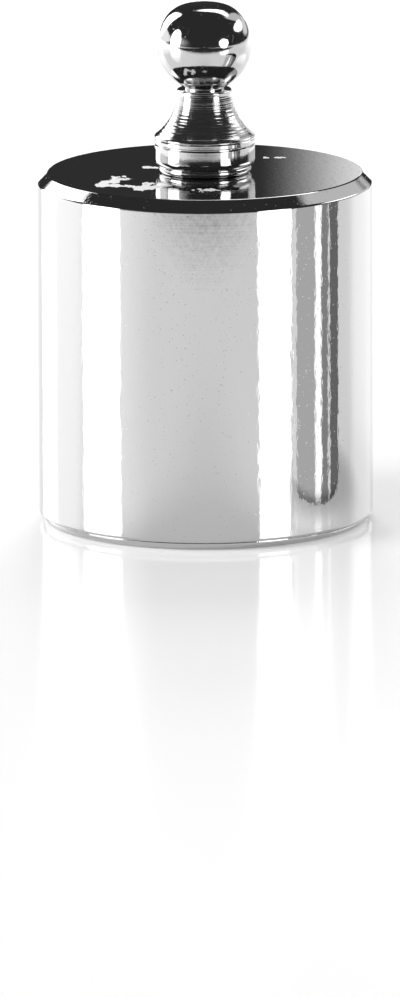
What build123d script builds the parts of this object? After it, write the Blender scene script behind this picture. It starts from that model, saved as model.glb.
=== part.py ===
"""100 g cylindrical calibration weight, turned in chrome-plated steel.

The weight is a plain bar-turned cylinder with a lifting knob screwed into the middle of its
top face. The knob's shank closes a blind hole that is also the adjusting cavity: a few steel
shot lie in the bottom of it, under a packing wad that keeps them from rattling.

Millimetres. +Z is the axis of the turned pieces, and the origin is the middle of the
underside, on which the weight stands.
"""

import os
from math import asin, cos, floor, pi, radians, sin, sqrt, tan

from build123d import *

# Body: a bar length with both rims chamfered
BODY_DIAMETER = 24.8
BODY_HEIGHT = 26.1
RIM_CHAMFER = 0.8

# Screwed joint between knob and body (M4), drawn at its major diameter without the helix
THREAD_DIAMETER = 4.0
THREAD_CLEARANCE = 0.05  # radial, between shank and tapped hole
TAPPED_DEPTH = 9.5
MOUTH_COUNTERSINK = 0.3

# Adjusting cavity: the tap drill carried on below the thread
TAP_DRILL_DIAMETER = 3.3
CAVITY_LENGTH = 12.5  # full-diameter length below the tapped stretch
DRILL_POINT_ANGLE = 118.0

# Knob, measured up from its seat on the top face
FOOT_DIAMETER = 6.2
BEAD_DIAMETER = 6.86
BEAD_CREST_HEIGHT = 0.3
VALLEY_DIAMETER = 6.74  # between bead and collar
VALLEY_HEIGHT = 0.52
COLLAR_DIAMETER = 7.42
COLLAR_START_HEIGHT = 1.05  # where the collar's rounded lower edge ends
COLLAR_HEIGHT = 2.08
GROOVE_DIAMETER = 7.0
GROOVE_WIDTH = 0.12
FLANGE_DIAMETER = 7.5
FLANGE_BAND = 0.38  # upright edge, from the underside to the rounded rim
FLANGE_RIM_RADIUS = 0.35
TURNED_EDGE_RADIUS = 0.07  # on the edges of collar and flange at the groove
NECK_DIAMETER = 4.1
NECK_EDGE_RADIUS = 0.15  # rounds the neck's upper end
UNDERCUT_WIDTH = 0.14  # between the neck's upper end and the ball
BALL_DIAMETER = 7.0
BALL_ROOT_DIAMETER = 2.9  # bottom of the undercut, where the ball begins
BALL_CENTRE_HEIGHT = 9.55
CROWN_HEIGHT = 3.04  # from the ball's centre to the top of its flattened crown
CROWN_RADIUS = 20.0
CROWN_EDGE_RADIUS = 2.4

# Threaded shank of the knob
SHANK_LENGTH = 8.0
SHANK_RELIEF_LENGTH = 0.8
SHANK_RELIEF_DIAMETER = 3.1
SHANK_END_CHAMFER = 0.45

# Adjusting load
SHOT_DIAMETER = 1.5
SHOT_LAYERS = 4
SHOT_CLEARANCE = 0.01  # between neighbouring shot, and from shot to wall
WAD_THICKNESS = 1.4
WAD_EDGE_RADIUS = 0.3
WAD_CLEARANCE = 0.04


def revolved(*edges):
    """Solid of revolution about Z of a closed outline, drawn as (radius, height)."""
    half_section = make_face(Curve() + list(edges))
    return revolve(Plane.XZ * half_section, axis=Axis.Z)


def outline(*points):
    """Straight outline through (radius, height) points, closed back to the first."""
    return Polyline(*points, close=True)


def toward(start, target, distance):
    """Point at a distance from start, on the line from start through target."""
    start, target = Vector(*start), Vector(*target)
    return start + (target - start).normalized() * distance


def arc(centre, start, end):
    """Arc about a centre from one point to another, under half a turn."""
    centre, start, end = Vector(*centre), Vector(*start), Vector(*end)
    middle = toward(centre, (start + end) / 2, (start - centre).length)
    return ThreePointArc(start, middle, end)


def cavity_floor():
    """Height at which the cavity's straight wall ends and the drill point begins."""
    return BODY_HEIGHT - TAPPED_DEPTH - CAVITY_LENGTH


def drill_point():
    """Height of the lowest point of the blind hole."""
    return cavity_floor() - TAP_DRILL_DIAMETER / 2 / tan(radians(DRILL_POINT_ANGLE / 2))


def blind_hole():
    """Tapped mouth, tap-drill cavity and drill point, as the volume they remove."""
    thread_r = THREAD_DIAMETER / 2
    drill_r = TAP_DRILL_DIAMETER / 2
    return revolved(
        outline(
            (0, BODY_HEIGHT),
            (thread_r + MOUTH_COUNTERSINK, BODY_HEIGHT),
            (thread_r, BODY_HEIGHT - MOUTH_COUNTERSINK),
            (thread_r, BODY_HEIGHT - TAPPED_DEPTH),
            (drill_r, BODY_HEIGHT - TAPPED_DEPTH),
            (drill_r, cavity_floor()),
            (0, drill_point()),
        )
    )


def body():
    """Cylinder with chamfered rims, tapped and drilled from the top face."""
    bar = Cylinder(BODY_DIAMETER / 2, BODY_HEIGHT, align=(Align.CENTER, Align.CENTER, Align.MIN))
    bar = chamfer(bar.edges().filter_by(GeomType.CIRCLE), RIM_CHAMFER)
    return bar - blind_hole()


def shank_outline():
    """Relief under the seat, threaded length and chamfered end, from the seat to the axis."""
    shank_r = THREAD_DIAMETER / 2 - THREAD_CLEARANCE
    relief_r = SHANK_RELIEF_DIAMETER / 2
    return Polyline(
        (FOOT_DIAMETER / 2, 0),
        (relief_r, 0),
        (relief_r, -SHANK_RELIEF_LENGTH),
        (shank_r, relief_r - shank_r - SHANK_RELIEF_LENGTH),
        (shank_r, SHANK_END_CHAMFER - SHANK_LENGTH),
        (shank_r - SHANK_END_CHAMFER, -SHANK_LENGTH),
        (0, -SHANK_LENGTH),
    )


def upright_arc(upright, end):
    """Arc between two points that is parallel to the axis at the first of them."""
    inward, along = upright[0] - end[0], upright[1] - end[1]
    radius = (inward**2 + along**2) / (2 * inward)
    return arc((upright[0] - radius, upright[1]), upright, end)


def bead_outline():
    """Small bead from the foot to the valley, of two arcs that meet at its crest."""
    crest = (BEAD_DIAMETER / 2, BEAD_CREST_HEIGHT)
    foot = (FOOT_DIAMETER / 2, 0)
    valley = (VALLEY_DIAMETER / 2, VALLEY_HEIGHT)
    return [upright_arc(crest, foot), upright_arc(crest, valley)]


def collar_outline():
    """Collar from the valley to the groove, rounded below and with a broken edge above."""
    collar_r, groove_r = COLLAR_DIAMETER / 2, GROOVE_DIAMETER / 2
    valley = (VALLEY_DIAMETER / 2, VALLEY_HEIGHT)
    low = (collar_r, COLLAR_START_HEIGHT)
    high = (collar_r, COLLAR_HEIGHT - TURNED_EDGE_RADIUS)
    top = (collar_r - TURNED_EDGE_RADIUS, COLLAR_HEIGHT)
    return [
        upright_arc(low, valley),
        Line(low, high),
        arc((top[0], high[1]), high, top),
        Polyline(top, (groove_r, COLLAR_HEIGHT), (groove_r, COLLAR_HEIGHT + GROOVE_WIDTH)),
    ]


def flange_outline():
    """Underside, upright edge, rounded rim and hollow flare, then the neck and the undercut.

    The flare is one arc, upright where it leaves the neck and tangent to the rim."""
    flange_r, neck_r = FLANGE_DIAMETER / 2, NECK_DIAMETER / 2
    underside = COLLAR_HEIGHT + GROOVE_WIDTH
    inner = (flange_r - TURNED_EDGE_RADIUS, underside)
    low = (flange_r, underside + TURNED_EDGE_RADIUS)
    high = (flange_r, underside + FLANGE_BAND)
    rim = (flange_r - FLANGE_RIM_RADIUS, high[1])
    neck_top = (neck_r - NECK_EDGE_RADIUS, ball_root()[1] - UNDERCUT_WIDTH)
    neck_low = (neck_r, neck_top[1] - NECK_EDGE_RADIUS)
    outward, drop = rim[0] - neck_r, neck_low[1] - rim[1]
    flare_r = (outward**2 + drop**2 - FLANGE_RIM_RADIUS**2) / (2 * (outward + FLANGE_RIM_RADIUS))
    flare = (neck_r + flare_r, neck_low[1])
    tangent_point = toward(rim, flare, FLANGE_RIM_RADIUS)
    return [
        Line((GROOVE_DIAMETER / 2, underside), inner),
        arc((inner[0], low[1]), inner, low),
        Line(low, high),
        arc(rim, high, tangent_point),
        arc(flare, tangent_point, neck_low),
        arc((neck_top[0], neck_low[1]), neck_low, neck_top),
        Polyline(neck_top, (ball_root()[0], neck_top[1]), ball_root()),
    ]


def ball_root():
    """Where the underside of the ball begins, at the bottom of the undercut."""
    root_r = BALL_ROOT_DIAMETER / 2
    return (root_r, BALL_CENTRE_HEIGHT - sqrt((BALL_DIAMETER / 2) ** 2 - root_r**2))


def ball_outline():
    """Ball from root to axis, flattened by a shallow crown with a rolled edge."""
    ball_r = BALL_DIAMETER / 2
    ball = (0, BALL_CENTRE_HEIGHT)
    crown_top = (0, BALL_CENTRE_HEIGHT + CROWN_HEIGHT)
    crown = (0, crown_top[1] - CROWN_RADIUS)
    apart = ball[1] - crown[1]
    to_ball, to_crown = ball_r - CROWN_EDGE_RADIUS, CROWN_RADIUS - CROWN_EDGE_RADIUS
    above_ball = (to_crown**2 - to_ball**2 - apart**2) / (2 * apart)
    roll = (sqrt(to_ball**2 - above_ball**2), ball[1] + above_ball)
    ball_end = toward(ball, roll, ball_r)
    crown_end = toward(crown, roll, CROWN_RADIUS)
    return [
        arc(ball, ball_root(), ball_end),
        arc(roll, ball_end, crown_end),
        arc(crown, crown_end, crown_top),
        Line(crown_top, (0, -SHANK_LENGTH)),
    ]


def lifting_knob():
    """Ball, neck, flared flange, collar, bead and threaded shank, turned in one piece."""
    lower = [shank_outline(), *bead_outline(), *collar_outline()]
    knob = revolved(*lower, *flange_outline(), *ball_outline())
    return Pos(0, 0, BODY_HEIGHT) * knob


def shot_layout():
    """Centres of the shot, stacked in rings from the drill point upwards.

    Each ring lies against the wall, and sits in the hollows of the ring below."""
    pitch = SHOT_DIAMETER + SHOT_CLEARANCE
    ring_r = (TAP_DRILL_DIAMETER - SHOT_DIAMETER) / 2 - SHOT_CLEARANCE
    in_ring = max(1, floor(pi / asin(min(1, pitch / (2 * ring_r)))))
    half_point = radians(DRILL_POINT_ANGLE / 2)
    lowest = drill_point() + ring_r / tan(half_point) + pitch / 2 / sin(half_point)
    sideways = 2 * ring_r * sin(pi / in_ring / 2)
    rise = sqrt(pitch**2 - sideways**2)
    return [
        (ring_r * cos(turn), ring_r * sin(turn), lowest + layer * rise)
        for layer in range(SHOT_LAYERS)
        for turn in [(2 * spot + layer) * pi / in_ring for spot in range(in_ring)]
    ]


def adjusting_shot():
    """Loose steel balls in the bottom of the cavity, one solid each."""
    return Compound([Pos(*centre) * Sphere(SHOT_DIAMETER / 2) for centre in shot_layout()])


def packing_wad():
    """Pressed wad that lies on the shot and fills the cavity from wall to wall."""
    shot_top = max(z for _, _, z in shot_layout()) + SHOT_DIAMETER / 2
    wad = Cylinder(
        TAP_DRILL_DIAMETER / 2 - WAD_CLEARANCE,
        WAD_THICKNESS,
        align=(Align.CENTER, Align.CENTER, Align.MIN),
    )
    wad = fillet(wad.edges().filter_by(GeomType.CIRCLE), WAD_EDGE_RADIUS)
    return Pos(0, 0, shot_top + SHOT_CLEARANCE) * wad


PIECES = {
    "body": body,
    "lifting_knob": lifting_knob,
    "adjusting_shot": adjusting_shot,
    "packing_wad": packing_wad,
}

os.makedirs("parts", exist_ok=True)
for node, make in PIECES.items():
    piece = make()
    piece.label = node
    export_step(piece, f"parts/{node}.step")
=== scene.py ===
"""Looks of the chrome-plated calibration weight, and the small product studio round it.

Metres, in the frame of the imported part: +Z up, and the origin in the middle of the underside.
Azimuths are in degrees from the camera's side of the weight, positive to its right.
"""

from math import atan2, cos, pi, radians, sin, sqrt, tan

import bpy
from mathutils import Matrix, Vector


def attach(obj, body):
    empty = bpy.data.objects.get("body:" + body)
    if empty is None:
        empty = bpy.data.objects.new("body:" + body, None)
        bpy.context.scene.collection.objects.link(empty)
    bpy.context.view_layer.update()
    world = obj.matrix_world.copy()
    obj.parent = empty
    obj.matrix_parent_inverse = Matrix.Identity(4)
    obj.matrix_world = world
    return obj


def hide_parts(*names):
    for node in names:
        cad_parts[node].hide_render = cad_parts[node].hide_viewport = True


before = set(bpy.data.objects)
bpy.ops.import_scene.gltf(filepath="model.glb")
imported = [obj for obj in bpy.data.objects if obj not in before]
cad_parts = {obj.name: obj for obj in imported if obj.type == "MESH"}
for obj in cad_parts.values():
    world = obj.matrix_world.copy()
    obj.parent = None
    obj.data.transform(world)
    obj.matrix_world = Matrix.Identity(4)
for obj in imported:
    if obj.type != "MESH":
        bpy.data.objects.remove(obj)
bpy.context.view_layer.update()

MM = 0.001

# ---------------------------------------------------------------- sizes of the turned pieces
BODY_RADIUS = 12.4 * MM
BODY_HEIGHT = 26.1 * MM
RIM_CHAMFER = 0.8 * MM
EDGE_ROUND = 0.25 * MM  # the burr is taken off the edges of the top rim
BASE_FOOT_ROUND = 0.5 * MM  # the base edge ends in a round foot under a fine groove
BASE_GROOVE_WIDTH = 0.08 * MM
BASE_GROOVE_DEPTH = 0.12 * MM

THREAD_RADIUS = 2.0 * MM
THREAD_CLEARANCE = 0.05 * MM
TAPPED_DEPTH = 9.5 * MM
MOUTH_COUNTERSINK = 0.3 * MM
DRILL_RADIUS = 1.65 * MM
CAVITY_LENGTH = 12.5 * MM
DRILL_POINT_ANGLE = radians(118)

FOOT_RADIUS = 3.1 * MM
BEAD_RADIUS = 3.43 * MM
BEAD_CREST_HEIGHT = 0.3 * MM
VALLEY_RADIUS = 3.37 * MM
VALLEY_HEIGHT = 0.52 * MM
COLLAR_RADIUS = 3.71 * MM
COLLAR_START_HEIGHT = 1.05 * MM
COLLAR_HEIGHT = 2.08 * MM
GROOVE_RADIUS = 3.5 * MM
GROOVE_WIDTH = 0.12 * MM
FLANGE_RADIUS = 3.75 * MM
FLANGE_BAND = 0.38 * MM
FLANGE_RIM_RADIUS = 0.35 * MM
TURNED_EDGE_RADIUS = 0.07 * MM
NECK_RADIUS = 2.05 * MM
NECK_EDGE_RADIUS = 0.15 * MM
UNDERCUT_WIDTH = 0.14 * MM
BALL_RADIUS = 3.5 * MM
BALL_ROOT_RADIUS = 1.45 * MM
BALL_CENTRE_HEIGHT = 9.55 * MM
CROWN_HEIGHT = 3.04 * MM
CROWN_RADIUS = 20.0 * MM
CROWN_EDGE_RADIUS = 2.4 * MM
SHANK_LENGTH = 8.0 * MM
SHANK_RELIEF_LENGTH = 0.8 * MM
SHANK_RELIEF_RADIUS = 1.55 * MM
SHANK_END_CHAMFER = 0.45 * MM

TURNED_SEGMENTS = 288
ARC_STEP = radians(3)
ON_AXIS = 1e-9

# ---------------------------------------------------------------- camera
CAMERA_DISTANCE = 1.1
CAMERA_ELEVATION = radians(11.68)
CAMERA_ROLL = radians(-0.216)
CAMERA_AIM = Vector((-0.445, 0, 1.416)) * MM
SENSOR = 36.0
LENS = 535.2


# ================================================================ turned meshes
class Outline:
    """Half section of a turned piece, as points of (radius, height).

    Each stretch keeps its own surface normals, so arcs look round and corners stay crisp."""

    def __init__(self, start):
        self.points = [Vector(start)]
        self.normals = []  # one (at start, at end) pair for each step of the outline

    def _step(self, end, normal_start, normal_end):
        self.points.append(Vector(end))
        self.normals.append((Vector(normal_start), Vector(normal_end)))

    def line(self, end):
        along = (Vector(end) - self.points[-1]).normalized()
        normal = (along.y, -along.x)
        self._step(end, normal, normal)

    def arc(self, centre, end, hollow=False):
        """Arc about a centre, under half a turn. A hollow arc faces its centre."""
        centre, end = Vector(centre), Vector(end)
        first, last = self.points[-1] - centre, end - centre
        start_angle, sweep = atan2(first.y, first.x), first.angle_signed(last)
        steps = max(2, round(abs(sweep) / ARC_STEP))
        facing = -1 if hollow else 1
        for step in range(steps):
            angles = [start_angle - sweep * (step + more) / steps for more in (0, 1)]
            spokes = [Vector((cos(angle), sin(angle))) for angle in angles]
            step_end = centre + first.length * spokes[1]
            self._step(step_end, *(facing * spoke for spoke in spokes))
        self.points[-1] = end

    def rounded(self, corner, target, radius):
        """Straight towards a corner, then round it onto the line towards the target."""
        corner, target = Vector(corner), Vector(target)
        back = (self.points[-1] - corner).normalized()
        on = (target - corner).normalized()
        half_angle = back.angle(on) / 2
        reach = radius * cos(half_angle) / sin(half_angle)
        centre = corner + (back + on).normalized() * radius / sin(half_angle)
        self.line(corner + back * reach)
        self.arc(centre, corner + on * reach)


def turned(name, outline, base_height):
    """Mesh object of a closed outline turned about Z, from its first to its last axis point."""
    vertices, rings = [], []
    for radius, height in outline.points:
        first = len(vertices)
        if radius < ON_AXIS:
            vertices.append((0, 0, base_height + height))
            rings.append([first] * TURNED_SEGMENTS)
            continue
        for segment in range(TURNED_SEGMENTS):
            angle = 2 * pi * segment / TURNED_SEGMENTS
            vertices.append((radius * cos(angle), radius * sin(angle), base_height + height))
        rings.append(list(range(first, first + TURNED_SEGMENTS)))
    faces, loop_normals = [], []
    for (low, high), step_normals in zip(zip(rings, rings[1:]), outline.normals):
        for segment in range(TURNED_SEGMENTS):
            after = (segment + 1) % TURNED_SEGMENTS
            corners = [
                (low[segment], segment, 0),
                (low[after], after, 0),
                (high[after], after, 1),
                (high[segment], segment, 1),
            ]
            seen, face = set(), []
            for vertex, spoke, end in corners:
                if vertex in seen:
                    continue
                seen.add(vertex)
                face.append(vertex)
                angle = 2 * pi * spoke / TURNED_SEGMENTS
                out, up = step_normals[end]
                loop_normals.append((out * cos(angle), out * sin(angle), up))
            faces.append(face)
    mesh = bpy.data.meshes.new(name)
    mesh.from_pydata(vertices, [], faces)
    mesh.polygons.foreach_set("use_smooth", [True] * len(faces))
    mesh.normals_split_custom_set(loop_normals)
    mesh.update()
    piece = bpy.data.objects.new(name, mesh)
    bpy.context.scene.collection.objects.link(piece)
    return piece


def draw_base_edge(hull, face_radius, side_low):
    """Round foot, fine groove and small lip, along the chamfer between underside and side."""
    foot_radius = face_radius + BASE_FOOT_ROUND
    groove_top = BASE_FOOT_ROUND + BASE_GROOVE_WIDTH
    lip_centre = (BODY_RADIUS - side_low + groove_top, side_low)
    hull.line((face_radius, 0))
    hull.arc((face_radius, BASE_FOOT_ROUND), (foot_radius, BASE_FOOT_ROUND))
    hull.line((foot_radius - BASE_GROOVE_DEPTH, BASE_FOOT_ROUND))
    hull.line((foot_radius - BASE_GROOVE_DEPTH, groove_top))
    hull.line((lip_centre[0], groove_top))
    hull.arc(lip_centre, (BODY_RADIUS, side_low))


def body_outline():
    """Underside, side, chamfered rim, top face and blind hole, up to the drill point."""
    cavity_floor = BODY_HEIGHT - TAPPED_DEPTH - CAVITY_LENGTH
    drill_point = cavity_floor - DRILL_RADIUS / tan(DRILL_POINT_ANGLE / 2)
    thread_end = BODY_HEIGHT - TAPPED_DEPTH
    face_radius = BODY_RADIUS - RIM_CHAMFER
    side_low, side_high = RIM_CHAMFER, BODY_HEIGHT - RIM_CHAMFER
    hull = Outline((0, 0))
    draw_base_edge(hull, face_radius, side_low)
    hull.rounded((BODY_RADIUS, side_high), (face_radius, BODY_HEIGHT), EDGE_ROUND)
    hull.rounded((face_radius, BODY_HEIGHT), (THREAD_RADIUS, BODY_HEIGHT), EDGE_ROUND)
    hull.line((THREAD_RADIUS + MOUTH_COUNTERSINK, BODY_HEIGHT))
    hull.line((THREAD_RADIUS, BODY_HEIGHT - MOUTH_COUNTERSINK))
    hull.line((THREAD_RADIUS, thread_end))
    hull.line((DRILL_RADIUS, thread_end))
    hull.line((DRILL_RADIUS, cavity_floor))
    hull.line((0, drill_point))
    return hull


def upright_centre(upright, end):
    """Centre of the arc through two points that is parallel to the axis at the first."""
    inward, along = Vector(upright) - Vector(end)
    return (upright[0] - (inward**2 + along**2) / (2 * inward), upright[1])


def draw_shank(knob):
    """Screwed shank, up to the seat of the knob."""
    shank_radius = THREAD_RADIUS - THREAD_CLEARANCE
    knob.line((shank_radius - SHANK_END_CHAMFER, -SHANK_LENGTH))
    knob.line((shank_radius, SHANK_END_CHAMFER - SHANK_LENGTH))
    knob.line((shank_radius, SHANK_RELIEF_RADIUS - shank_radius - SHANK_RELIEF_LENGTH))
    knob.line((SHANK_RELIEF_RADIUS, -SHANK_RELIEF_LENGTH))
    knob.line((SHANK_RELIEF_RADIUS, 0))
    knob.line((FOOT_RADIUS, 0))


def draw_collar(knob):
    """Small bead, then the straight collar up to the groove under the flange."""
    crest = (BEAD_RADIUS, BEAD_CREST_HEIGHT)
    valley = (VALLEY_RADIUS, VALLEY_HEIGHT)
    low = (COLLAR_RADIUS, COLLAR_START_HEIGHT)
    knob.arc(upright_centre(crest, (FOOT_RADIUS, 0)), crest)
    knob.arc(upright_centre(crest, valley), valley)
    knob.arc(upright_centre(low, valley), low)
    groove = (GROOVE_RADIUS, COLLAR_HEIGHT)
    knob.rounded((COLLAR_RADIUS, COLLAR_HEIGHT), groove, TURNED_EDGE_RADIUS)
    knob.line(groove)


def draw_flange(knob, root):
    """Groove, edge and rounded rim of the flange, the hollow flare, and the undercut neck."""
    underside = COLLAR_HEIGHT + GROOVE_WIDTH
    high = Vector((FLANGE_RADIUS, underside + FLANGE_BAND))
    rim = high - Vector((FLANGE_RIM_RADIUS, 0))
    knob.line((GROOVE_RADIUS, underside))
    knob.rounded((FLANGE_RADIUS, underside), high, TURNED_EDGE_RADIUS)
    knob.line(high)
    neck_top = root[1] - UNDERCUT_WIDTH
    neck_low = Vector((NECK_RADIUS, neck_top - NECK_EDGE_RADIUS))
    outward, drop = rim.x - neck_low.x, neck_low.y - rim.y
    flare_radius = outward**2 + drop**2 - FLANGE_RIM_RADIUS**2
    flare_radius /= 2 * (outward + FLANGE_RIM_RADIUS)
    flare = neck_low + Vector((flare_radius, 0))
    knob.arc(rim, rim + (flare - rim).normalized() * FLANGE_RIM_RADIUS)
    knob.arc(flare, neck_low, hollow=True)
    knob.rounded((NECK_RADIUS, neck_top), (root[0], neck_top), NECK_EDGE_RADIUS)
    knob.line((root[0], neck_top))
    knob.line(root)


def draw_ball(knob):
    """Ball from its root in the undercut, with the flattened crown on top."""
    ball = Vector((0, BALL_CENTRE_HEIGHT))
    crown_top = Vector((0, ball.y + CROWN_HEIGHT))
    crown = Vector((0, crown_top.y - CROWN_RADIUS))
    apart = ball.y - crown.y
    to_ball, to_crown = BALL_RADIUS - CROWN_EDGE_RADIUS, CROWN_RADIUS - CROWN_EDGE_RADIUS
    above_ball = (to_crown**2 - to_ball**2 - apart**2) / (2 * apart)
    roll = Vector((sqrt(to_ball**2 - above_ball**2), ball.y + above_ball))
    knob.arc(ball, ball + (roll - ball).normalized() * BALL_RADIUS)
    knob.arc(roll, crown + (roll - crown).normalized() * CROWN_RADIUS)
    knob.arc(crown, crown_top)


def knob_outline():
    """Shank, bead, collar, flange, neck and ball, from the shank's end to the crown."""
    root = (BALL_ROOT_RADIUS, BALL_CENTRE_HEIGHT - sqrt(BALL_RADIUS**2 - BALL_ROOT_RADIUS**2))
    knob = Outline((0, -SHANK_LENGTH))
    draw_shank(knob)
    draw_collar(knob)
    draw_flange(knob, root)
    draw_ball(knob)
    return knob


# ================================================================ material nodes
WHITE = (1, 1, 1, 1)


class Nodes:
    """Short way to add and wire the shader nodes of a material or a world."""

    def __init__(self, tree):
        self.tree = tree
        tree.nodes.clear()

    def add(self, kind, settings=None, **sockets):
        node = self.tree.nodes.new("ShaderNode" + kind)
        for key, value in (settings or {}).items():
            setattr(node, key, value)
        for key, value in sockets.items():
            self.set(node, key.replace("_", " "), value)
        return node

    def set(self, node, socket, value):
        if isinstance(value, bpy.types.NodeSocket):
            self.tree.links.new(value, node.inputs[socket])
        else:
            node.inputs[socket].default_value = value

    def math(self, operation, *values, clamp=False):
        node = self.add("Math", {"operation": operation, "use_clamp": clamp})
        for index, value in enumerate(values):
            self.set(node, index, value)
        return node.outputs[0]

    def ramp(self, value, low, high, to_low=0.0, to_high=1.0):
        """Smooth step of a value from one level to another."""
        node = self.add(
            "MapRange",
            {"interpolation_type": "SMOOTHSTEP"},
            Value=value,
            From_Min=low,
            From_Max=high,
            To_Min=to_low,
            To_Max=to_high,
        )
        return node.outputs[0]

    def distance(self, place, point=(0, 0, 0)):
        """How far a place lies from a fixed point."""
        node = self.add("VectorMath", {"operation": "DISTANCE"})
        self.set(node, 0, place)
        self.set(node, 1, point)
        return node.outputs["Value"]

    def place(self):
        """Where the shaded point lies, in its object's own axes."""
        return self.add("TexCoord").outputs["Object"]

    def glow(self, strength):
        """White light of that strength."""
        return self.add("Emission", Color=WHITE, Strength=strength).outputs[0]

    def mix(self, share, first, second):
        """The first shader where the share is 0, the second where it is 1."""
        node = self.add("MixShader", Fac=share)
        if first is not None:
            self.set(node, 1, first)
        self.set(node, 2, second)
        return node.outputs[0]

    def both(self, first, second):
        """The light of two shaders together."""
        node = self.add("AddShader")
        self.set(node, 0, first)
        self.set(node, 1, second)
        return node.outputs[0]

    def card(self, share, strength):
        """White light where the share is 1, clear where it is 0."""
        return self.mix(share, self.add("BsdfTransparent").outputs[0], self.glow(strength))

    def finish(self, shader):
        self.set(self.add("OutputMaterial"), "Surface", shader)


def material(name):
    made = bpy.data.materials.new(name)
    made.use_nodes = True
    return made, Nodes(made.node_tree)


def axis_parts(nodes, place):
    """X, Y and Z of a place as sockets."""
    parts = nodes.add("SeparateXYZ", Vector=place).outputs
    return parts["X"], parts["Y"], parts["Z"]


# ---------------------------------------------------------------- relief
PEEL_SIZE, PEEL_STRETCH = 0.5 * MM, (1, 1, 0.3)
FROST_SIZE, FROST_SHARE = 0.18 * MM, 0.4
RING_SIZE = 0.22 * MM
PIT_SIZE, PIT_RIM, PIT_FLOOR = 0.17 * MM, 0.71, 0.78  # rim and floor are levels of the noise


def grain(nodes, place, size, detail=2.0, stretch=(1, 1, 1)):
    """Noise with features of about that size, from 0 to 1."""
    mapping = nodes.add("Mapping", Vector=place, Scale=stretch)
    noise = nodes.add(
        "TexNoise", Vector=mapping.outputs[0], Scale=1 / size, Detail=detail, Roughness=0.5
    )
    return noise.outputs[0]


def turning_marks(nodes, place, size, detail=3.0):
    """Noise that runs round the axis unbroken, as a tool leaves it."""
    return grain(nodes, place, size, detail, stretch=(0.01, 0.01, 1))


def plated_surface(nodes, place, peel_depth, ring_depth, pit_depth):
    """Relief of bright plating in metres: orange peel, faint turning marks and small pits."""
    peel = grain(nodes, place, PEEL_SIZE, stretch=PEEL_STRETCH)
    frost = grain(nodes, place, FROST_SIZE, detail=1.0, stretch=PEEL_STRETCH)
    rings = turning_marks(nodes, place, RING_SIZE)
    pits = nodes.ramp(grain(nodes, place, PIT_SIZE, detail=1.0), PIT_RIM, PIT_FLOOR)
    relief = nodes.math("MULTIPLY", peel, peel_depth)
    relief = nodes.math("MULTIPLY_ADD", frost, peel_depth * FROST_SHARE, relief)
    relief = nodes.math("MULTIPLY_ADD", rings, ring_depth, relief)
    return nodes.math("MULTIPLY_ADD", pits, -pit_depth, relief)


def relief_normal(nodes, relief):
    return nodes.add("Bump", Strength=1.0, Distance=1.0, Height=relief).outputs[0]


# ---------------------------------------------------------------- scuffs of the top face
SCUFFS = (  # start, end and half width of each stroke, in millimetres
    ((-7.4, -4.7), (-6.4, -2.3), 0.35),
    ((-6.9, -4.0), (-6.2, -3.0), 0.6),
    ((-7.4, -5.5), (-5.8, -5.9), 0.5),
    ((-4.9, -6.7), (-4.0, -4.9), 0.45),
    ((-4.6, -7.1), (-3.7, -6.3), 0.7),
    ((-4.1, 1.6), (-3.6, 1.5), 0.3),
    ((-0.9, -7.6), (-0.5, -8.2), 0.3),
    ((-0.4, -7.2), (-0.1, -8.6), 0.25),
    ((0.1, -7.7), (0.5, -7.5), 0.4),
    ((4.2, 5.5), (5.8, 5.6), 0.15),
)
SCUFF_EDGE = 0.08  # millimetres over which a scuff fades out
SCUFF_LOWEST, SCUFF_FULL = 0.03 * MM, 0.01 * MM  # below the top face, which alone is scuffed
TORN_SIZE, TORN_STRETCH, TORN_DEPTH = 0.6 * MM, (1, 0.4, 1), 2.2 * MM
SCUFF_TONE = (0.95, 0.95, 0.95, 1)


def scuff(nodes, x, y, torn, start, end, half_width):
    """Ragged stroke on the top face from one point to another: 1 on it and 0 off it."""
    start, run = MM * Vector(start), MM * (Vector(end) - Vector(start))
    share = run / run.length_squared
    along = nodes.math("MULTIPLY_ADD", x, share.x, -start.dot(share))
    along = nodes.math("MULTIPLY_ADD", y, share.y, along, clamp=True)
    off_x = nodes.math("SUBTRACT", x, nodes.math("MULTIPLY_ADD", along, run.x, start.x))
    off_y = nodes.math("SUBTRACT", y, nodes.math("MULTIPLY_ADD", along, run.y, start.y))
    apart = nodes.math("MULTIPLY_ADD", off_x, off_x, nodes.math("MULTIPLY", off_y, off_y))
    apart = nodes.math("ADD", nodes.math("SQRT", apart), torn)
    return nodes.ramp(apart, half_width * MM, (half_width + SCUFF_EDGE) * MM, 1.0, 0.0)


def scuffs(nodes, place):
    """The bright scuffs on the top face, in front of the knob and to its left."""
    x, y, z = axis_parts(nodes, place)
    torn = grain(nodes, place, TORN_SIZE, detail=4.0, stretch=TORN_STRETCH)
    torn = nodes.math("MULTIPLY", nodes.math("SUBTRACT", torn, 0.5), TORN_DEPTH)
    marks = 0.0
    for start, end, half_width in SCUFFS:
        stroke = scuff(nodes, x, y, torn, start, end, half_width)
        marks = nodes.math("MAXIMUM", stroke, marks)
    on_face = nodes.ramp(z, BODY_HEIGHT - SCUFF_LOWEST, BODY_HEIGHT - SCUFF_FULL)
    return nodes.math("MULTIPLY", marks, on_face)


# ---------------------------------------------------------------- materials of the weight
CHROME_TONE = (0.6, 0.6, 0.6, 1)
FLARE_TOP = 6.0 * MM  # above the seat of the knob
FLARE_FADE = (0.3 * MM, 0.6 * MM)  # over which its tool marks come in and go out
FLARE_ROUGHNESS = 0.14
BRIGHT_ROUGHNESS = 0.05
FLARE_GROOVE_DEPTH = 0.07 * MM


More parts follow.
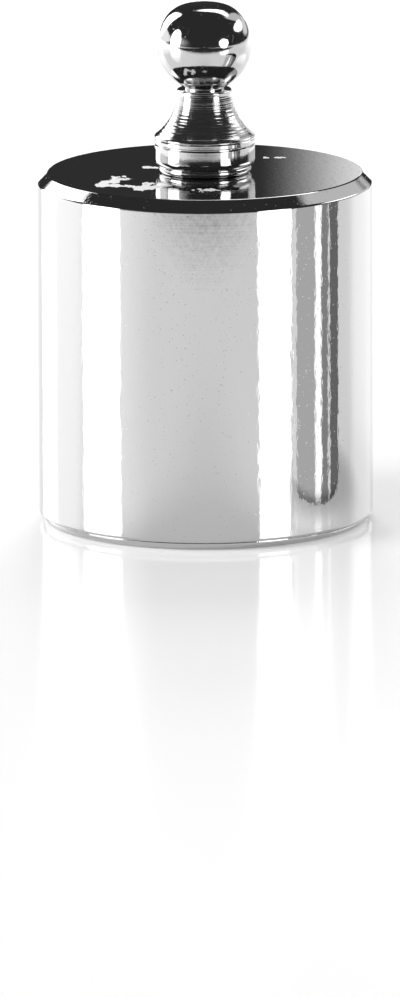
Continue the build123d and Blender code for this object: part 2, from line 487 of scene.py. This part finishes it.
def chrome_body():
    """Bright plating of the body, with the scuffs of its top face."""
    made, nodes = material("chrome_body")
    place = nodes.place()
    relief = plated_surface(
        nodes, place, peel_depth=0.007 * MM, ring_depth=0.0012 * MM, pit_depth=0.005 * MM
    )
    chrome = nodes.add(
        "BsdfPrincipled",
        Base_Color=CHROME_TONE,
        Metallic=1.0,
        Roughness=0.04,
        Normal=relief_normal(nodes, relief),
    )
    scuffed = nodes.add("BsdfDiffuse", Color=SCUFF_TONE)
    nodes.finish(nodes.mix(scuffs(nodes, place), chrome.outputs[0], scuffed.outputs[0]))
    return made


def chrome_knob():
    """Bright plating of the knob. The flare keeps its tool marks, which draw lights upright."""
    made, nodes = material("chrome_knob")
    place = nodes.place()
    _, _, z = axis_parts(nodes, place)
    low, high = BODY_HEIGHT + COLLAR_HEIGHT + FLANGE_BAND, BODY_HEIGHT + FLARE_TOP
    fade_in = nodes.ramp(z, low, low + FLARE_FADE[0])
    fade_out = nodes.ramp(z, high - FLARE_FADE[1], high, 1.0, 0.0)
    flare = nodes.math("MULTIPLY", fade_in, fade_out)
    relief = plated_surface(
        nodes, place, peel_depth=0.006 * MM, ring_depth=0.0015 * MM, pit_depth=0.004 * MM
    )
    grooves = turning_marks(nodes, place, RING_SIZE)
    grooves = nodes.math("MULTIPLY", grooves, FLARE_GROOVE_DEPTH)
    relief = nodes.math("MULTIPLY_ADD", flare, grooves, relief)
    rougher = FLARE_ROUGHNESS - BRIGHT_ROUGHNESS
    shader = nodes.add(
        "BsdfPrincipled",
        Base_Color=CHROME_TONE,
        Metallic=1.0,
        Roughness=nodes.math("MULTIPLY_ADD", flare, rougher, BRIGHT_ROUGHNESS),
        Anisotropic=0.9,
        Anisotropic_Rotation=0.25,
        Tangent=nodes.add("Tangent", {"direction_type": "RADIAL", "axis": "Z"}).outputs[0],
        Normal=relief_normal(nodes, relief),
    )
    nodes.finish(shader.outputs[0])
    return made


def shot_steel():
    """Bright drawn steel of the adjusting shot, with faint rolling marks."""
    made, nodes = material("shot_steel")
    marks = nodes.add("TexNoise", Vector=nodes.place(), Scale=2500.0, Detail=4.0).outputs[0]
    bump = nodes.add("Bump", Strength=0.3, Distance=0.005 * MM, Height=marks)
    shader = nodes.add(
        "BsdfPrincipled",
        Base_Color=(0.48, 0.47, 0.46, 1),
        Metallic=1.0,
        Roughness=nodes.ramp(marks, 0.3, 0.7, 0.22, 0.4),
        Normal=bump.outputs[0],
    )
    nodes.finish(shader.outputs[0])
    return made


def crumpled_foil():
    """Pressed aluminium foil of the packing wad."""
    made, nodes = material("crumpled_foil")
    creases = nodes.add(
        "TexVoronoi", {"feature": "DISTANCE_TO_EDGE"}, Vector=nodes.place(), Scale=1800.0
    ).outputs[0]
    bump = nodes.add("Bump", Strength=0.8, Distance=0.06 * MM, Height=creases)
    shader = nodes.add(
        "BsdfPrincipled",
        Base_Color=(0.78, 0.78, 0.79, 1),
        Metallic=1.0,
        Roughness=nodes.ramp(creases, 0.0, 0.2, 0.5, 0.28),
        Normal=bump.outputs[0],
    )
    nodes.finish(shader.outputs[0])
    return made


# ================================================================ studio
SEEN_RAYS = ("Camera", "Glossy", "Transmission")
AMBIENT = 0.45
DARK_LEVEL = 0.035


def toward(azimuth, elevation):
    """Unit vector from the weight towards that azimuth and elevation, in degrees."""
    turn, lift = radians(azimuth), radians(elevation)
    return Vector((sin(turn) * cos(lift), -cos(turn) * cos(lift), sin(lift)))


def any_ray(nodes, *kinds):
    """1 for rays of any of these kinds, else 0."""
    path = nodes.add("LightPath")
    total = 0.0
    for kind in kinds:
        total = nodes.math("ADD", path.outputs[f"Is {kind} Ray"], total, clamp=True)
    return total


def circle(radius, height, spokes):
    """Points of a level circle round the Z axis."""
    turns = [2 * pi * spoke / spokes for spoke in range(spokes)]
    return [(radius * cos(turn), radius * sin(turn), height) for turn in turns]


def stacked_rings(rings, spokes):
    """Points and faces of level circles, as (radius, height), with a lid on the last."""
    points = [point for radius, height in rings for point in circle(radius, height, spokes)]
    faces = [
        (
            ring * spokes + spoke,
            ring * spokes + (spoke + 1) % spokes,
            (ring + 1) * spokes + (spoke + 1) % spokes,
            (ring + 1) * spokes + spoke,
        )
        for ring in range(len(rings) - 1)
        for spoke in range(spokes)
    ]
    return points, faces + [tuple(range((len(rings) - 1) * spokes, len(rings) * spokes))]


def stage_mesh(name, points, faces, finish):
    mesh = bpy.data.meshes.new(name)
    mesh.from_pydata(points, [], faces)
    mesh.materials.append(finish)
    thing = bpy.data.objects.new(name, mesh)
    bpy.context.scene.collection.objects.link(thing)
    return thing


def mirrored_mesh(name, points, faces, finish):
    """Stage mesh that only shows in polished surfaces."""
    thing = stage_mesh(name, points, faces, finish)
    thing.visible_camera = False
    thing.visible_diffuse = False
    thing.visible_shadow = False
    return thing


# ---------------------------------------------------------------- floor and room
FLOOR_RADIUS = 6.0
FLOOR_TONE = (0.9, 0.9, 0.9, 1)
FLOOR_LIFT = 0.17  # brings the lit floor up to white where it is seen
FAR_LIFT = 0.2  # the same again for the far floor, which the lamps reach less
FAR_START, FAR_END = 0.14, 0.45
FLOOR_GLOSS_ROUGHNESS = 0.1
ROOM_RADIUS = 5.0
ROOM_START, ROOM_END = -1, 88  # elevations in degrees
FRONT_START, FRONT_END = -0.105, -0.2  # where the lit sheet falls off towards the camera


def floor_finish():
    """White acrylic sheet: an even white with a clear gloss that grows towards grazing."""
    made, nodes = material("white_acrylic")
    base = nodes.add("BsdfDiffuse", Color=FLOOR_TONE).outputs[0]
    apart = nodes.distance(nodes.place())
    lift = nodes.ramp(apart, FAR_START, FAR_END, FLOOR_LIFT, FLOOR_LIFT + FAR_LIFT)
    lift = nodes.math("MULTIPLY", any_ray(nodes, *SEEN_RAYS), lift)
    white = nodes.both(base, nodes.glow(lift))
    gloss = nodes.add("BsdfGlossy", Color=WHITE, Roughness=FLOOR_GLOSS_ROUGHNESS).outputs[0]
    coat = nodes.mix(nodes.add("Fresnel", IOR=1.5).outputs[0], None, gloss)
    nodes.finish(nodes.both(white, coat))
    return made


def build_floor():
    """White sheet that the weight stands on, out to the horizon."""
    spokes = 64
    rim = circle(FLOOR_RADIUS, 0, spokes)
    stage_mesh("floor", rim, [tuple(range(spokes))], floor_finish())


def build_dark_room():
    """Dark room above the horizon, so the metal has something to be dark against."""
    made, nodes = material("dark_room")
    nodes.finish(nodes.glow(DARK_LEVEL))
    steps = 11
    rings = []
    for step in range(steps + 1):
        lift = radians(ROOM_START + (ROOM_END - ROOM_START) * step / steps)
        rings.append((ROOM_RADIUS * cos(lift), ROOM_RADIUS * sin(lift)))
    points, faces = stacked_rings(rings, 48)
    mirrored_mesh("dark_room", points, faces, made)


def build_dark_front():
    """Unlit end of the table on the camera's side, which only the metal mirrors."""
    made, nodes = material("dark_front")
    _, depth, _ = axis_parts(nodes, nodes.place())
    nodes.finish(nodes.card(nodes.ramp(depth, FRONT_END, FRONT_START, 1.0, 0.0), DARK_LEVEL))
    half_width, far, lift = 0.6, -5.5, 0.4 * MM
    corners = [
        (-half_width, far, lift),
        (half_width, far, lift),
        (half_width, FRONT_START, lift),
        (-half_width, FRONT_START, lift),
    ]
    mirrored_mesh("dark_front", corners, [(0, 1, 2, 3)], made)


def build_world():
    """White to the eye and in the metal; a lower even light on everything else."""
    world = bpy.data.worlds.new("studio")
    world.use_nodes = True
    bpy.context.scene.world = world
    nodes = Nodes(world.node_tree)
    seen = any_ray(nodes, *SEEN_RAYS)
    strength = nodes.math("MULTIPLY_ADD", seen, 1 - AMBIENT, AMBIENT)
    background = nodes.add("Background", Color=WHITE, Strength=strength)
    nodes.set(nodes.add("OutputWorld"), "Surface", background.outputs[0])


# ---------------------------------------------------------------- lights
def soft_glow(name, strength, edge):
    """White light that fades out towards the rim of a panel, over that share of its half size."""
    made, nodes = material(name)
    apart = nodes.distance(nodes.add("UVMap").outputs[0], (0.5, 0.5, 0))
    across = nodes.math("MULTIPLY", apart, 2.0)
    nodes.finish(nodes.card(nodes.ramp(across, 1 - edge, 1.0, 1.0, 0.0), strength))
    return made


def reflector(name, centre, half_size, strength, edge=0.15, tilt=0, distance=1.6):
    """Oval panel about an azimuth and elevation, seen only in the polished metal.

    The half sizes are in degrees. The tilt turns the oval about its own middle."""
    steps = 16
    lean = radians(tilt)
    points, faces, corners = [], [], []
    for row in range(steps + 1):
        for column in range(steps + 1):
            across, up = 2 * column / steps - 1, 2 * row / steps - 1
            wide, high = across * half_size[0], up * half_size[1]
            azimuth = centre[0] + wide * cos(lean) - high * sin(lean)
            elevation = centre[1] + wide * sin(lean) + high * cos(lean)
            points.append(distance * toward(azimuth, elevation))
            corners.append((column / steps, row / steps))
    for row in range(steps):
        for column in range(steps):
            first = row * (steps + 1) + column
            faces.append((first, first + 1, first + steps + 2, first + steps + 1))
    panel = mirrored_mesh(name, points, faces, soft_glow(name, strength, edge))
    layer = panel.data.uv_layers.new(name="panel")
    for face in panel.data.polygons:
        for loop, point in zip(face.loop_indices, face.vertices):
            layer.data[loop].uv = corners[point]


def build_softboxes():
    """Soft lights of the studio as the metal shows them, by azimuth and elevation."""
    reflector("softbox_left", (-77, 12), (17, 21), 4.0, edge=0.12)
    reflector("spill_left", (-70, 10), (38, 14), 0.85, edge=1.0, distance=1.7)
    reflector("softbox_right", (49, 9), (13, 10), 4.5, edge=0.12)
    reflector("window_left", (-136, 24), (17, 27), 3.2, edge=0.2, tilt=-20)
    reflector("window_right", (114, 23), (25, 8), 3.5, edge=0.3, tilt=-8)
    reflector("pale_right", (130, 35), (12, 32), 0.75, edge=0.3, tilt=50, distance=1.8)
    reflector("skylight", (157, 54), (43, 10), 3.0, edge=0.4, tilt=6)
    reflector("wall_left", (-122, 8), (33, 9), 1.3, edge=0.2, distance=1.9)
    reflector("wall_right", (140, 10), (26, 9), 0.95, edge=0.5, distance=1.9)


LAMP_DISTANCE = 1.2


def lamp(name, azimuth, elevation, size, power):
    """Soft lamp aimed at the weight. It lights the floor and isn't mirrored."""
    light = bpy.data.lights.new(name, "AREA")
    light.shape = "RECTANGLE"
    light.size, light.size_y = size
    light.energy = power
    thing = bpy.data.objects.new(name, light)
    bpy.context.scene.collection.objects.link(thing)
    out = toward(azimuth, elevation)
    thing.location = LAMP_DISTANCE * out
    thing.rotation_mode = "QUATERNION"
    thing.rotation_quaternion = out.to_track_quat("Z", "Y")
    thing.visible_camera = False
    thing.visible_glossy = False


def build_lamps():
    lamp("back_lamp_high", 180, 45, size=(0.6, 0.5), power=2.8)
    lamp("back_lamp_low", 180, 22, size=(0.5, 0.35), power=5.6)
    lamp("left_lamp", -70, 35, size=(0.6, 0.6), power=6.0)


# ---------------------------------------------------------------- what stands round the weight
NEIGHBOUR_AZIMUTH = 67.8
NEIGHBOUR_DISTANCE = 32.2 * MM
NEIGHBOUR_RADIUS = 9.2 * MM
NEIGHBOUR_HEIGHT = 25 * MM
# Painted reflection: glowing upright bands that stand in for the studio as the other cylinder
# mirrors it
NEIGHBOUR_REFLECTION_BANDS = (  # from, to and strength, in degrees round its own axis from the weight's side
    (-45, -11, 0.2),
    (-11, -7, 1.1),
    (-7, 6, 0.34),
    (6, 17, 1.7),
    (17, 58, 0.62),
    (58, 90, 1.1),
)
SHADE_REACH = 2.0 * NEIGHBOUR_RADIUS
SHADE_SHARE, SHADE_LEVEL = 0.48, 0.25
SHADE_TURN = 4  # degrees that the shade lies further round than the neighbour


def neighbour_painted_reflection():
    """Painted reflection: glowing upright light and dark bands, as the other cylinder mirrors the
    studio towards this one.
    """
    made, nodes = material("neighbour")
    x, y, z = axis_parts(nodes, nodes.place())
    turn = nodes.math("ARCTAN2", y, x)
    strength = 0.0
    for low, high, level in NEIGHBOUR_REFLECTION_BANDS:
        rise = nodes.ramp(turn, radians(low - 1), radians(low + 1))
        fall = nodes.ramp(turn, radians(high - 1), radians(high + 1), level, 0.0)
        strength = nodes.math("MULTIPLY_ADD", rise, fall, strength)
    # painted shade at its foot: the glow falls to 0.4 of its strength near the floor
    foot = nodes.ramp(z, 0.2 * MM, 1.5 * MM, 0.4, 1.0)
    nodes.finish(nodes.glow(nodes.math("MULTIPLY", strength, foot)))
    return made


def build_neighbour():
    """Another polished cylinder, standing to the right out of the picture, shown as a glowing
    painted reflection that only the metal mirrors.
    """
    rings = (
        (NEIGHBOUR_RADIUS - RIM_CHAMFER, 0.1 * MM),
        (NEIGHBOUR_RADIUS, RIM_CHAMFER),
        (NEIGHBOUR_RADIUS, NEIGHBOUR_HEIGHT - RIM_CHAMFER),
        (NEIGHBOUR_RADIUS - RIM_CHAMFER, NEIGHBOUR_HEIGHT),
    )
    points, faces = stacked_rings(rings, 96)
    thing = mirrored_mesh("neighbour", points, faces, neighbour_painted_reflection())
    thing.location = NEIGHBOUR_DISTANCE * toward(NEIGHBOUR_AZIMUTH, 0)
    thing.rotation_euler.z = radians(NEIGHBOUR_AZIMUTH + 90)


def build_neighbour_shade():
    """Soft shade on the floor round the other cylinder, which only the metal mirrors."""
    made, nodes = material("neighbour_shade")
    apart = nodes.distance(nodes.place())
    covered = nodes.ramp(apart, NEIGHBOUR_RADIUS, SHADE_REACH, SHADE_SHARE, 0.0)
    nodes.finish(nodes.card(covered, SHADE_LEVEL))
    spokes = 48
    rim = circle(SHADE_REACH, 0, spokes)
    disc = mirrored_mesh("neighbour_shade", rim, [tuple(range(spokes))], made)
    disc.location = NEIGHBOUR_DISTANCE * toward(NEIGHBOUR_AZIMUTH + SHADE_TURN, 0)
    disc.location.z = 0.3 * MM


def build_back_right_card():
    """Pale card close behind, which lightens the right of the top face from a soft edge."""
    made, nodes = material("back_right_card")
    x, _, _ = axis_parts(nodes, nodes.place())
    left, right, low, high, back = 4 * MM, 24 * MM, 32 * MM, 42 * MM, 60 * MM
    full, strength = 15 * MM, 1.1
    nodes.finish(nodes.card(nodes.ramp(x, left, full), strength))
    corners = [(left, back, low), (right, back, low), (right, back, high), (left, back, high)]
    mirrored_mesh("back_right_card", corners, [(0, 1, 2, 3)], made)


# ================================================================ the scene
def build_camera():
    """Long lens from a little above, at the photograph's angle."""
    data = bpy.data.cameras.new("camera")
    data.sensor_fit = "AUTO"
    data.sensor_width = SENSOR
    data.lens = LENS
    data.clip_start, data.clip_end = 0.1, 20.0
    camera = bpy.data.objects.new("camera", data)
    bpy.context.scene.collection.objects.link(camera)
    back = Vector((0, -cos(CAMERA_ELEVATION), sin(CAMERA_ELEVATION)))
    up = Vector((0, sin(CAMERA_ELEVATION), cos(CAMERA_ELEVATION)))
    right = Vector((1, 0, 0))
    rolled_right = cos(CAMERA_ROLL) * right + sin(CAMERA_ROLL) * up
    rolled_up = cos(CAMERA_ROLL) * up - sin(CAMERA_ROLL) * right
    place = Matrix((rolled_right, rolled_up, back)).transposed().to_4x4()
    place.translation = CAMERA_AIM + CAMERA_DISTANCE * back
    camera.matrix_world = place
    bpy.context.scene.camera = camera


def build_studio():
    build_floor()
    build_dark_room()
    build_dark_front()
    build_world()
    build_softboxes()
    build_neighbour()
    build_neighbour_shade()
    build_back_right_card()
    build_lamps()


def build_weight():
    body = turned("weight_body", body_outline(), 0)
    body.data.materials.append(chrome_body())
    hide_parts("body")
    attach(body, "root")

    knob = turned("weight_knob", knob_outline(), BODY_HEIGHT)
    knob.data.materials.append(chrome_knob())
    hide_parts("lifting_knob")
    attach(knob, "root")

    for node, finish in (("adjusting_shot", shot_steel()), ("packing_wad", crumpled_foil())):
        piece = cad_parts[node]
        piece.data.materials.clear()
        piece.data.materials.append(finish)


scene = bpy.context.scene
scene.view_settings.view_transform = "Standard"
build_weight()
build_studio()
build_camera()
